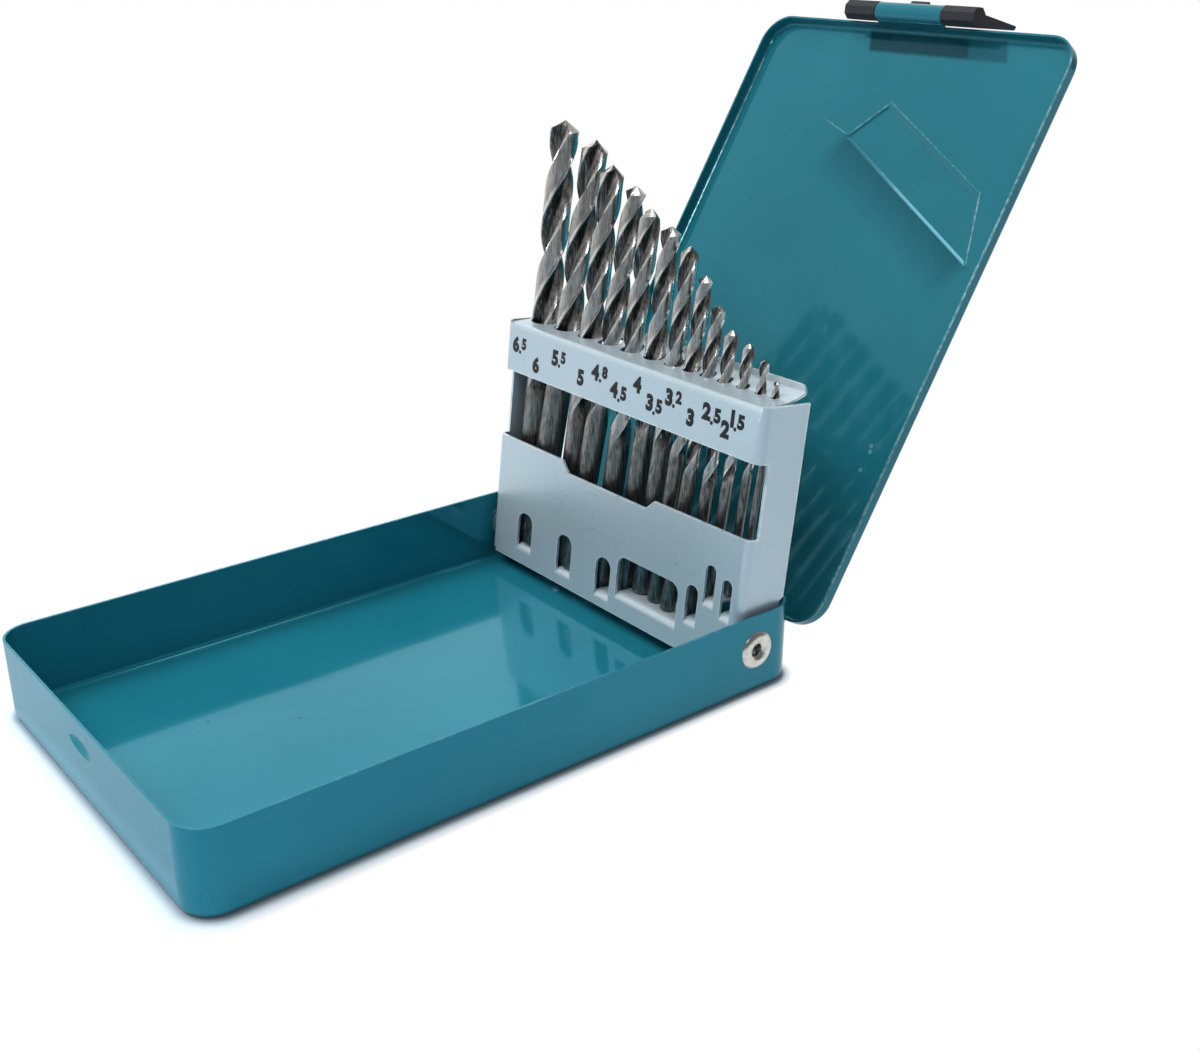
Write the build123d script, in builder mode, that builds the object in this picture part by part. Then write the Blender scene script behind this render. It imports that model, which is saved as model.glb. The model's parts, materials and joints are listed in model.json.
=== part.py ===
"""Folding metal case for thirteen twist drills: tray, lid, swing-up rack, latch and bits.

Millimetres, +Z up.  The origin is the middle of the tray's underside; +Y points to the hinge
at the back.  The case stands open: lid thrown back, rack swung up, latch flipped over.
"""
from build123d import *
import math
import os

os.makedirs("parts", exist_ok=True)

# --- driving dimensions -------------------------------------------------------------------
SHEET = 0.5                 # tray and lid sheet
TRAY_LENGTH = 131.5
TRAY_WIDTH = 87.0
TRAY_HEIGHT = 17.0
TRAY_CORNER = 6.2           # corner radius seen from above
TRAY_BEND = 1.5             # outer bend between floor and walls
FIT = 0.05                  # radial running clearance of pins and eyelets
SIDE_GAP = 0.15             # axial play between pieces that turn on each other
PIN_CHAMFER = 0.15

LID_GAP = 0.25              # between lid wall and tray wall
LID_DEPTH = 3.2
LID_LAP = 1.0               # how far the lid reaches below the tray's rim
LID_BEND = 1.2
LID_OPEN = 121.9            # opening angle, degrees
EMBOSS = 0.5                # height of the pressed panel on the lid
EMBOSS_SLOPE = 55.0         # lean of its slanted edges from upright, degrees
# Corners of the pressed panel as (x, distance from the lid's hinge edge).
EMBOSS_FIELD = [(1.0, 115.0), (34.8, 97.5), (39.0, 82.2), (-7.3, 106.0)]

HINGE_WALL = 0.03           # hinge axis behind the tray's rear wall
HINGE_Z = 11.84
KNUCKLE_R = 1.25
HINGE_PIN_R = 0.6
HINGE_WIDTH = 40.0
HINGE_KNUCKLES = 5
KNUCKLE_GAP = 0.3
WINDOW_GAP = 0.4            # around a lid knuckle in the tray's rear wall

LATCH_OUT = 1.75            # latch axis outside the lid's end wall
LATCH_DROP = 1.7            # latch axis below the lid's rim
LATCH_WIDTH = 36.6
LATCH_TUBE_LENGTH = 18.7
LATCH_TUBE_R = 2.1
LATCH_BLOCK_R = 2.3         # corner radius of the octagonal blocks
LATCH_PIN_R = 0.8
LATCH_END = 1.2             # closed end of the right block, past the pin
LATCH_REACH = 13.6          # tongue length from the axis
LATCH_SWING = 155.0         # from latched to flipped over
# Latch tongue seen from its end, latched: x to the tray from the axis, y up.
TONGUE_PROFILE = [
    (-2.12, 0.75), (-2.12, -0.75), (-1.6, 0.5 - LATCH_REACH), (-1.2, -LATCH_REACH),
    (-0.65, -LATCH_REACH), (0.8, -1.7), (0.8, 0.0),
]
DIMPLE_WIDTH = 11.0
DIMPLE_HEIGHT = 3.2
DIMPLE_DEPTH = 0.9
DIMPLE_BELOW_RIM = 5.0
NIB_WIDTH = 5.0
NIB_BITE = 0.25             # how far the latch nib stands in the dimple
NIB_TIP = 0.45              # chamfer at the nib's tip
NIB_ROOT = 0.5              # how deep the nib is rooted in the tongue
NIB_SLOPE = 2.2             # drop of its sloped underside

RACK_SHEET = 0.6
RACK_WIDTH = 83.6
RACK_LEAN = 6.57            # lean to the back when swung up, degrees
PIVOT_FROM_REAR = 11.4
PIVOT_Z = 9.4
RACK_FRONT = 4.54           # front face ahead of the pivot
RACK_REAR = 7.51            # rear edges behind the pivot
RACK_BOTTOM = -6.05         # lower edge of the front panel, from the pivot
RACK_SIDE_BOTTOM = -5.2
RACK_SIDE_TOP = 49.7
RACK_BEND = 2.0
REAR_RELIEF = 1.0           # how far the rear edges are cut back beside the tray's corners
REAR_RELIEF_TOP = 8.7       # height of that cut above the pivot
HEEL_BACK = 5.4             # chamfer across the rear bottom corner: how far back it starts
HEEL_UP = -3.2              # and the height where it ends
CORNER_CUT = 2.0            # width cut back at each end of the front panel's lower edge
FLANGE_HALF_WIDTH = 40.5
FLANGE_FRONT_TOP = 49.24
FLANGE_HOLE_TOP = 49.8      # flange height at the row of holes
FLANGE_KINK = -2.4          # where the flange starts to rise, ahead of the pivot
FLANGE_REAR_TOP = 51.4
FLANGE_LIP_TOP = 52.95
FLANGE_SKIRT = 2.5          # how far the flange's sheet runs down the front panel
FLANGE_BENDS = (1.3, 4.0, 0.8)      # inner bend radii: front edge, kink, lip
LIP_LEAN = 0.5              # how far the lip leans to the back
FLANGE_CORNER = 2.2         # corner radius at the ends of the lip
HOLE_AHEAD = -2.9           # row of holes, ahead of the pivot
HOLE_CLEARANCE = 0.2
WINDOW_TOP = 38.3
WINDOW_RETURN = 1.9         # how far ahead of the pivot the window ends in the side panels
TONGUE_SHEET = 0.5
TONGUE_BEND = 1.8
TONGUE_ROOT = 0.3           # how far a tongue's sheet runs down the front panel below its bend
TONGUE_DEPTH = 8.6

EYELET_BARREL_R = 2.5
EYELET_BORE_R = 1.25
EYELET_FLANGE_R = 4.05
EYELET_FLANGE = 0.7
CLINCH_R = 3.0
CLINCH = 0.35

HELIX_ANGLE = 27.0
POINT_ANGLE = 118.0
LAND_HALF_ANGLE = 47.0
WEB = 0.3                   # radius of the web, as a share of the bit's radius
SECTION_STEP = 40.0         # degrees of twist from one section to the next
RUNOUT_SECTIONS = 2         # sections over which the flutes run out into the shank
RUNOUT_START = 0.97         # how nearly round the first of them is
SHANK_CHAMFER = 0.25
SEAT_GAP = 0.02             # a tilted shank's lowest point above its seat

# Lower window edge as (x, height above the pivot), from left to right.
WINDOW_SILL = [(-17.5, 22.8), (-15.0, 20.3), (11.3, 20.4), (13.8, 22.7)]
WINDOW_SILL_LEFT = 22.8
WINDOW_SILL_RIGHT = 23.5

# Tongue slots in the front panel: centre x, width, sill and top above the pivot.
SLOT_ROUND = 2.3            # corner radius at the top of a slot
NARROW_ROUND = 0.48         # the same in a narrow slot, as a share of its width
SLOTS = [
    (-29.0, 5.4, -1.6, 6.4),
    (-14.0, 5.2, -2.4, 6.0),
    (-0.1, 5.0, -2.8, 5.4),
    (14.25, 19.5, -0.8, 7.7),
    (28.05, 3.5, 1.6, 9.1),
    (32.7, 3.0, 7.5, 15.0),
]
HANGING_SLOT = (37.6, 2.9, 6.1, 13.5)     # a second tongue hangs from its upper edge

# Bits: name, diameter, total length, flute length, hole x, seat height, seat x, seat ahead, turn.
BITS = [
    ("6_5", 6.5, 100.0, 63.0, -36.9, -5.55, -36.9, -1.7, 20.0),
    ("6_0", 6.0, 93.0, 57.0, -28.7, -1.6, -29.4, 0.8, 75.0),
    ("5_5", 5.5, 92.5, 57.0, -20.4, -5.55, -20.4, -0.1, 30.0),
    ("5_0", 5.0, 86.0, 52.0, -13.6, -2.4, -14.6, 1.3, 110.0),
    ("4_8", 4.8, 85.3, 52.0, -6.2, -5.55, -6.2, -0.2, 50.0),
    ("4_5", 4.5, 80.0, 47.0, 1.1, -2.8, 1.1, -0.9, 130.0),
    ("4_0", 4.0, 75.0, 43.0, 7.3, -0.8, 7.3, -0.5, 10.0),
    ("3_5", 3.5, 70.0, 39.0, 12.7, -0.8, 12.7, 0.1, 60.0),
    ("3_2", 3.2, 65.0, 36.0, 17.6, -0.8, 17.6, 1.0, 95.0),
    ("3_0", 3.0, 61.0, 33.0, 22.6, -0.8, 22.6, -0.5, 35.0),
    ("2_5", 2.5, 57.0, 30.0, 27.8, 1.6, 27.8, -0.8, 150.0),
    ("2_0", 2.0, 49.0, 24.0, 32.7, 7.5, 32.7, -1.3, 80.0),
    ("1_5", 1.5, 39.2, 18.0, 36.6, 14.0, 36.6, -0.7, 20.0),
]
LOW_SEATS = [(-36.9, 5.0), (-20.4, 4.4), (-6.2, 4.0)]      # seat tongues at the bottom edge: x, width

# --- derived places -----------------------------------------------------------------------
LID_LENGTH = TRAY_LENGTH + 2 * (LID_GAP + SHEET)
LID_WIDTH = TRAY_WIDTH + 2 * (LID_GAP + SHEET)
LID_RIM_Z = TRAY_HEIGHT - LID_LAP
HINGE_Y = TRAY_LENGTH / 2 + HINGE_WALL
PIVOT_Y = TRAY_LENGTH / 2 - PIVOT_FROM_REAR
DIMPLE_Z = TRAY_HEIGHT - DIMPLE_BELOW_RIM
LATCH_Y = -LID_LENGTH / 2 - LATCH_OUT
LATCH_Z = LID_RIM_Z - LATCH_DROP
CUT = 200.0                 # larger than the whole case

lean = math.radians(RACK_LEAN)
opening = math.radians(LID_OPEN)
# Rack frame: z along the rack to its top, y to its back.
rack_frame = Plane(
    origin=(0, PIVOT_Y, PIVOT_Z), x_dir=(1, 0, 0), z_dir=(0, math.sin(lean), math.cos(lean))
)
# Rack profile: x to the rack's back, y to its top.
rack_profile = Plane(origin=rack_frame.origin, x_dir=rack_frame.y_dir, z_dir=(1, 0, 0))
# Rack front: x across, y to its top, z to its front.
rack_front = Plane(origin=rack_frame.origin, x_dir=(1, 0, 0), z_dir=-rack_frame.y_dir)
# Lid frame: as the closed lid stands about the hinge axis, turned open.
lid_frame = Plane(
    origin=(0, HINGE_Y, HINGE_Z), x_dir=(1, 0, 0), z_dir=(0, math.sin(opening), math.cos(opening))
)


def lid_plane(x, y, z, x_dir=(1, 0, 0), z_dir=(0, 0, 1)):
    """A plane given where it is with the lid closed, carried round to the open lid."""
    spot = lid_frame.from_local_coords(Vector(x, y - HINGE_Y, z - HINGE_Z))
    ahead = lid_frame.from_local_coords(Vector(*x_dir)) - lid_frame.origin
    up = lid_frame.from_local_coords(Vector(*z_dir)) - lid_frame.origin
    return Plane(origin=spot, x_dir=ahead, z_dir=up)


def finish(builder, name):
    """Name a finished piece and write it."""
    builder.part.label = name
    export_step(builder.part, f"parts/{name}.step")


def knuckle_spans():
    """Start and end of each hinge knuckle along X, tray knuckles at even places."""
    pitch = HINGE_WIDTH / HINGE_KNUCKLES
    for index in range(HINGE_KNUCKLES):
        start = -HINGE_WIDTH / 2 + index * pitch
        yield index % 2 == 0, start + KNUCKLE_GAP / 2, start + pitch - KNUCKLE_GAP / 2


# --- base tray ----------------------------------------------------------------------------
with BuildPart() as base_tray:
    with BuildSketch():
        RectangleRounded(TRAY_WIDTH, TRAY_LENGTH, TRAY_CORNER)
    extrude(amount=TRAY_HEIGHT)
    fillet(base_tray.faces().sort_by(Axis.Z)[0].edges(), TRAY_BEND)
    offset(amount=-SHEET, openings=base_tray.faces().sort_by(Axis.Z)[-1])
    # Catch dimple: a spindle pressed into the front wall, its axis a little outside the wall.
    chord = (DIMPLE_HEIGHT**2 / 4 - DIMPLE_DEPTH**2) / (2 * DIMPLE_DEPTH)     # axis to the wall's face
    spindle_r = chord + DIMPLE_DEPTH
    spindle_y = -TRAY_LENGTH / 2 - chord
    spindle_plane = Plane.XZ.offset(-spindle_y)
    for swell, arc, mode in ((SHEET, 180, Mode.ADD), (0.0, 360, Mode.SUBTRACT)):
        with BuildSketch(spindle_plane) as spindle:
            with BuildLine():
                left = (-DIMPLE_WIDTH / 2 - swell, DIMPLE_Z - chord)
                right = (DIMPLE_WIDTH / 2 + swell, DIMPLE_Z - chord)
                ThreePointArc(left, (0, DIMPLE_Z - spindle_r - swell), right)
                Polyline(right, (right[0], DIMPLE_Z), (left[0], DIMPLE_Z), left)
            make_face()
        revolve(axis=Axis((0, spindle_y, DIMPLE_Z), (1, 0, 0)), revolution_arc=arc, mode=mode)
    with BuildSketch(Plane.XZ.offset(TRAY_LENGTH / 2)):
        with Locations((0, DIMPLE_Z)):
            Rectangle(2 * DIMPLE_WIDTH, 2 * DIMPLE_HEIGHT)
    extrude(amount=CUT, mode=Mode.SUBTRACT)
    # Eyelet holes in the side walls.
    with BuildSketch(Plane.YZ):
        with Locations((PIVOT_Y, PIVOT_Z)):
            Circle(EYELET_BARREL_R)
    extrude(amount=CUT, both=True, mode=Mode.SUBTRACT)
    # Hinge: windows for the lid's knuckles, then the tray's own rolled knuckles.
    for on_tray, start, end in knuckle_spans():
        with BuildSketch(Plane.YZ.offset(start - (0 if on_tray else WINDOW_GAP))):
            with Locations((HINGE_Y, HINGE_Z)):
                if on_tray:
                    Circle(KNUCKLE_R)
                else:
                    Rectangle(2 * (HINGE_WALL + SHEET + KNUCKLE_R), 2 * (KNUCKLE_R + WINDOW_GAP))
        if on_tray:
            extrude(amount=end - start)
        else:
            extrude(amount=end - start + 2 * WINDOW_GAP, mode=Mode.SUBTRACT)
    with BuildSketch(Plane.YZ):
        with Locations((HINGE_Y, HINGE_Z)):
            Circle(HINGE_PIN_R + FIT)
    extrude(amount=HINGE_WIDTH, both=True, mode=Mode.SUBTRACT)
finish(base_tray, "base_tray")

# --- lid ----------------------------------------------------------------------------------
lid_base = lid_plane(0, 0, LID_RIM_Z)
lid_axis = Axis(lid_base.origin, lid_base.z_dir)
with BuildPart() as lid:
    with BuildSketch(lid_base):
        RectangleRounded(LID_WIDTH, LID_LENGTH, TRAY_CORNER + LID_GAP + SHEET)
    extrude(amount=LID_DEPTH)
    fillet(lid.faces().sort_by(lid_axis)[-1].edges(), LID_BEND)
    offset(amount=-SHEET, openings=lid.faces().sort_by(lid_axis)[0])
    # Pressed panel: a slanted four-sided field that stands out of the lid's outer face.
    for height, mode in ((LID_DEPTH, Mode.ADD), (LID_DEPTH - SHEET, Mode.SUBTRACT)):
        with BuildSketch(lid_plane(0, LID_LENGTH / 2, LID_RIM_Z + height)):
            with BuildLine():
                Polyline(*[(x, -s) for x, s in EMBOSS_FIELD], close=True)
            make_face()
        extrude(amount=EMBOSS, taper=EMBOSS_SLOPE, mode=mode)
    # Hinge knuckles on tongues that run down from the rear wall.
    for on_tray, start, end in knuckle_spans():
        if not on_tray:
            with BuildSketch(lid_plane(start, HINGE_Y, HINGE_Z, (0, 1, 0), (1, 0, 0))):
                Circle(KNUCKLE_R)
                with Locations((LID_LENGTH / 2 - HINGE_Y, 0)):
                    Rectangle(SHEET, LID_RIM_Z - HINGE_Z + SHEET, align=(Align.MAX, Align.MIN))
                Circle(HINGE_PIN_R + FIT, mode=Mode.SUBTRACT)
            extrude(amount=end - start)
    # Latch tube rolled from the end wall, with the web that carries it.
    tube_plane = lid_plane(-LATCH_TUBE_LENGTH / 2, LATCH_Y, LATCH_Z, (0, 1, 0), (1, 0, 0))
    with BuildSketch(tube_plane):
        Circle(LATCH_TUBE_R)
        with Locations((LATCH_OUT, 0)):
            Rectangle(SHEET, LATCH_DROP + SHEET, align=Align.MIN)
        Circle(LATCH_PIN_R + FIT, mode=Mode.SUBTRACT)
    extrude(amount=LATCH_TUBE_LENGTH)
finish(lid, "lid")

# --- hinge pin ----------------------------------------------------------------------------
with BuildPart() as hinge_pin:
    with BuildSketch(Plane.YZ.offset(-HINGE_WIDTH / 2)):
        with Locations((HINGE_Y, HINGE_Z)):
            Circle(HINGE_PIN_R)
    extrude(amount=HINGE_WIDTH)
    chamfer(hinge_pin.edges().filter_by(GeomType.CIRCLE), PIN_CHAMFER)
finish(hinge_pin, "hinge_pin")


# --- rack ---------------------------------------------------------------------------------
def bit_frame(radius, hole_x, seat_z, seat_x, seat_ahead):
    """Plane at the middle of a bit's shank end, its normal along the bit to the tip."""
    tilt = math.atan(math.hypot(hole_x - seat_x, HOLE_AHEAD - seat_ahead) / (FLANGE_HOLE_TOP - seat_z))
    lift = (radius - SHANK_CHAMFER) * math.sin(tilt) + SEAT_GAP
    seat = rack_frame.from_local_coords(Vector(seat_x, -seat_ahead, seat_z + lift))
    hole = rack_frame.from_local_coords(Vector(hole_x, -HOLE_AHEAD, FLANGE_HOLE_TOP))
    axis = (hole - seat).normalized()
    return Plane(origin=seat, x_dir=axis.cross(Vector(0, -1, 0)), z_dir=axis)


def tongue(x, width, sill):
    """A tongue bent inwards over a slot's sill, as part of the piece being built."""
    with BuildSketch(rack_profile.offset(x - width / 2)) as profile:
        with BuildLine():
            FilletPolyline(
                (-RACK_FRONT, sill - TONGUE_BEND - TONGUE_ROOT),
                (-RACK_FRONT, sill),
                (-RACK_FRONT + TONGUE_DEPTH, sill),
                radius=TONGUE_BEND,
            )
            offset(amount=TONGUE_SHEET, side=Side.RIGHT)
        make_face()
    extrude(profile.sketch, amount=width)


with BuildPart() as rack:
    # Front panel and both sides as one folded strip.
    with BuildSketch(rack_frame.offset(RACK_BOTTOM)):
        with BuildLine():
            half = RACK_WIDTH / 2
            FilletPolyline(
                (-half, RACK_REAR), (-half, -RACK_FRONT), (half, -RACK_FRONT), (half, RACK_REAR),
                radius=RACK_BEND,
            )
            offset(amount=RACK_SHEET, side=Side.LEFT)
        make_face()
    extrude(amount=RACK_SIDE_TOP - RACK_BOTTOM)
    # The lower corners are cut back to swing clear of the tray's bends.
    with BuildSketch(rack_front):
        for side in (-1, 1):
            with Locations((side * RACK_WIDTH / 2, RACK_BOTTOM)):
                Rectangle(2 * CORNER_CUT, 2 * (RACK_SIDE_BOTTOM - RACK_BOTTOM))
    extrude(amount=CUT, both=True, mode=Mode.SUBTRACT)
    # The rear edges are cut back low down, where the tray's corners curve in.
    with BuildSketch(rack_profile):
        with BuildLine():
            Polyline(
                (2 * RACK_REAR, 2 * RACK_BOTTOM),
                (HEEL_BACK, 2 * RACK_BOTTOM),
                (HEEL_BACK, RACK_SIDE_BOTTOM),
                (RACK_REAR - REAR_RELIEF, HEEL_UP),
                (RACK_REAR - REAR_RELIEF, REAR_RELIEF_TOP),
                (RACK_REAR, REAR_RELIEF_TOP + REAR_RELIEF),
                (2 * RACK_REAR, REAR_RELIEF_TOP + REAR_RELIEF),
                close=True,
            )
        make_face()
    extrude(amount=CUT, both=True, mode=Mode.SUBTRACT)
    # The front panel stops where the flange's bend begins.
    with BuildSketch(rack_front):
        with Locations((0, FLANGE_FRONT_TOP)):
            Rectangle(2 * FLANGE_HALF_WIDTH, 2 * (RACK_SIDE_TOP - FLANGE_FRONT_TOP + RACK_SHEET))
    extrude(amount=CUT, mode=Mode.SUBTRACT)
    with BuildSketch(rack_profile.offset(-FLANGE_HALF_WIDTH)):
        with BuildLine():
            FilletPolyline(
                (-RACK_FRONT, FLANGE_FRONT_TOP - FLANGE_SKIRT),
                (-RACK_FRONT, FLANGE_FRONT_TOP),
                (-FLANGE_KINK, FLANGE_HOLE_TOP),
                (RACK_REAR - LIP_LEAN, FLANGE_REAR_TOP),
                (RACK_REAR, FLANGE_LIP_TOP),
                radius=FLANGE_BENDS,
            )
            offset(amount=RACK_SHEET, side=Side.RIGHT)
        make_face()
    extrude(amount=2 * FLANGE_HALF_WIDTH)
    # Rounded ends of the lip.
    with BuildSketch(rack_front):
        for side in (-1, 1):
            arc_start = (side * (FLANGE_HALF_WIDTH - FLANGE_CORNER), FLANGE_LIP_TOP)
            arc_end = (side * FLANGE_HALF_WIDTH, FLANGE_LIP_TOP - FLANGE_CORNER)
            bulge = FLANGE_CORNER * (1 - math.sqrt(0.5))
            with BuildLine():
                ThreePointArc(
                    arc_start, (side * (FLANGE_HALF_WIDTH - bulge), FLANGE_LIP_TOP - bulge), arc_end
                )
                Polyline(
                    arc_end,
                    (side * (FLANGE_HALF_WIDTH + RACK_SHEET), FLANGE_LIP_TOP - FLANGE_CORNER),
                    (side * (FLANGE_HALF_WIDTH + RACK_SHEET), FLANGE_LIP_TOP + RACK_SHEET),
                    (side * (FLANGE_HALF_WIDTH - FLANGE_CORNER), FLANGE_LIP_TOP + RACK_SHEET),
                    arc_start,
                )
            make_face()
    extrude(amount=-CUT, mode=Mode.SUBTRACT)
    # Window across the front that runs round both bends.
    with BuildSketch(rack_front.offset(WINDOW_RETURN)):
        with BuildLine():
            Polyline(
                (-RACK_WIDTH, WINDOW_TOP), (-RACK_WIDTH, WINDOW_SILL_LEFT), *WINDOW_SILL,
                (RACK_WIDTH, WINDOW_SILL_RIGHT), (RACK_WIDTH, WINDOW_TOP), close=True,
            )
        make_face()
    extrude(amount=CUT, mode=Mode.SUBTRACT)
    # Slots, each with the tongue that was folded out of it.
    with BuildSketch(rack_front.offset(RACK_FRONT - 2 * RACK_SHEET)):
        for x, width, sill, top in [*SLOTS, HANGING_SLOT]:
            with Locations((x, (sill - TONGUE_BEND + top) / 2)):
                RectangleRounded(width, top - sill + TONGUE_BEND, min(SLOT_ROUND, NARROW_ROUND * width))
            with Locations((x, sill)):
                Rectangle(width, 2 * TONGUE_BEND)
    extrude(amount=CUT, mode=Mode.SUBTRACT)
    for x, width, sill, top in [*SLOTS, HANGING_SLOT]:
        tongue(x, width, sill)
    # Seat tongues folded in at the bottom edge, and the one that hangs from its slot's top.
    seat_tops = [(x, width, RACK_BOTTOM + TONGUE_SHEET) for x, width in LOW_SEATS]
    seat_tops.append((HANGING_SLOT[0], HANGING_SLOT[1], HANGING_SLOT[3] + TONGUE_SHEET))
    for x, width, top in seat_tops:
        with BuildSketch(rack_profile.offset(x - width / 2)):
            with Locations((-RACK_FRONT, top)):
                Rectangle(TONGUE_DEPTH, TONGUE_SHEET, align=(Align.MIN, Align.MAX))
        extrude(amount=width)
    # Pivot holes and one hole for each bit, along the bit's own axis.
    for side_x in (-RACK_WIDTH / 2, RACK_WIDTH / 2 - RACK_SHEET):
        with BuildSketch(Plane.YZ.offset(side_x - SIDE_GAP)):
            with Locations((PIVOT_Y, PIVOT_Z)):
                Circle(EYELET_BARREL_R + FIT)
        extrude(amount=RACK_SHEET + 2 * SIDE_GAP, mode=Mode.SUBTRACT)
    for name, diameter, length, flute, hole_x, seat_z, seat_x, seat_ahead, turn in BITS:
        hole_frame = bit_frame(diameter / 2, hole_x, seat_z, seat_x, seat_ahead)
        with BuildSketch(hole_frame.offset(WINDOW_TOP - seat_z)):
            Circle(diameter / 2 + HOLE_CLEARANCE)
        extrude(amount=CUT, mode=Mode.SUBTRACT)
finish(rack, "rack")

# --- eyelets and washers of the rack pivot -------------------------------------------------
for side, word in ((-1, "left"), (1, "right")):
    wall_x = side * TRAY_WIDTH / 2
    inner_x = side * (TRAY_WIDTH / 2 - SHEET)
    clinch_x = side * (RACK_WIDTH / 2 - RACK_SHEET - SIDE_GAP)
    spindle_axis = Axis((0, PIVOT_Y, PIVOT_Z), (1, 0, 0))
    with BuildPart() as eyelet:
        with BuildSketch(Plane.XY.offset(PIVOT_Z)):
            with BuildLine():
                Polyline(
                    (clinch_x - side * CLINCH, PIVOT_Y + EYELET_BORE_R),
                    (clinch_x - side * CLINCH, PIVOT_Y + CLINCH_R),
                    (clinch_x, PIVOT_Y + CLINCH_R),
                    (clinch_x, PIVOT_Y + EYELET_BARREL_R),
                    (wall_x, PIVOT_Y + EYELET_BARREL_R),
                    (wall_x, PIVOT_Y + EYELET_FLANGE_R),
                )
                ThreePointArc(
                    (wall_x, PIVOT_Y + EYELET_FLANGE_R),
                    (wall_x + side * EYELET_FLANGE, PIVOT_Y + (EYELET_FLANGE_R + EYELET_BORE_R) / 2),
                    (wall_x, PIVOT_Y + EYELET_BORE_R),
                )
                Line((wall_x, PIVOT_Y + EYELET_BORE_R), (clinch_x - side * CLINCH, PIVOT_Y + EYELET_BORE_R))
            make_face()
        revolve(axis=spindle_axis)
    finish(eyelet, f"rack_rivet_{word}")

    with BuildPart() as washer:
        with BuildSketch(Plane.YZ.offset(inner_x)):
            with Locations((PIVOT_Y, PIVOT_Z)):
                Circle(EYELET_FLANGE_R)
                Circle(EYELET_BARREL_R + FIT, mode=Mode.SUBTRACT)
        extrude(amount=-side * (abs(inner_x) - RACK_WIDTH / 2 - SIDE_GAP))
    finish(washer, f"rack_washer_{word}")

# --- latch and its pin ---------------------------------------------------------------------
# The latch is drawn as it hangs when latched, then turned about its pin to the flipped place.
swing = math.radians(LATCH_SWING)


def latch_plane(x):
    """Latch profile at x: local x points at the tray, local y up, as when latched."""
    return lid_plane(x, LATCH_Y, LATCH_Z, (0, math.cos(swing), -math.sin(swing)), (1, 0, 0))


block_width = (LATCH_WIDTH - LATCH_TUBE_LENGTH) / 2 - SIDE_GAP
nib_tip = LATCH_OUT + LID_GAP + SHEET + NIB_BITE      # from the axis into the tray's front wall
nib_z = DIMPLE_Z - LATCH_Z
with BuildPart() as latch:
    for start in (-LATCH_WIDTH / 2, LATCH_TUBE_LENGTH / 2 + SIDE_GAP):
        with BuildSketch(latch_plane(start)):
            RegularPolygon(LATCH_BLOCK_R, 8, rotation=22.5)
        extrude(amount=block_width)
    with BuildSketch(latch_plane(-LATCH_WIDTH / 2)):
        with BuildLine():
            Polyline(*TONGUE_PROFILE, close=True)
        make_face()
    extrude(amount=LATCH_WIDTH)
    with BuildSketch(latch_plane(-LATCH_TUBE_LENGTH / 2 - SIDE_GAP)):
        Circle(LATCH_TUBE_R + 2 * SIDE_GAP)
        with Locations((0, LATCH_TUBE_R)):
            Rectangle(3 * LATCH_TUBE_R, 2 * LATCH_TUBE_R)
    extrude(amount=LATCH_TUBE_LENGTH + 2 * SIDE_GAP, mode=Mode.SUBTRACT)
    with BuildSketch(latch_plane(-NIB_WIDTH / 2)):
        with BuildLine():
            Polyline(
                (-NIB_ROOT, nib_z - NIB_TIP), (nib_tip - NIB_TIP, nib_z + NIB_TIP), (nib_tip, nib_z),
                (nib_tip - NIB_TIP, nib_z - NIB_TIP), (-NIB_ROOT, nib_z - NIB_SLOPE), close=True,
            )
        make_face()
    extrude(amount=NIB_WIDTH)
    with BuildSketch(latch_plane(-LATCH_WIDTH / 2)):
        Circle(LATCH_PIN_R + FIT)
    extrude(amount=LATCH_WIDTH - LATCH_END, mode=Mode.SUBTRACT)
finish(latch, "latch")

with BuildPart() as latch_pin:
    with BuildSketch(latch_plane(-LATCH_WIDTH / 2 + SIDE_GAP)):
        Circle(LATCH_PIN_R)
    extrude(amount=LATCH_WIDTH - LATCH_END - 2 * SIDE_GAP)
    chamfer(latch_pin.edges().filter_by(GeomType.CIRCLE), PIN_CHAMFER)
finish(latch_pin, "latch_pin")


# --- drill bits ----------------------------------------------------------------------------
def bit_section(radius, web_radius, twist):
    """Two-flute section: two lands on the full radius and two hollow flutes between them."""
    land = LAND_HALF_ANGLE
    for start in (twist, twist + 180):
        ThreePointArc(
            Vector(radius, 0).rotate(Axis.Z, start - land),
            Vector(radius, 0).rotate(Axis.Z, start),
            Vector(radius, 0).rotate(Axis.Z, start + land),
        )
        ThreePointArc(
            Vector(radius, 0).rotate(Axis.Z, start + land),
            Vector(web_radius, 0).rotate(Axis.Z, start + 90),
            Vector(radius, 0).rotate(Axis.Z, start + 180 - land),
        )


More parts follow.
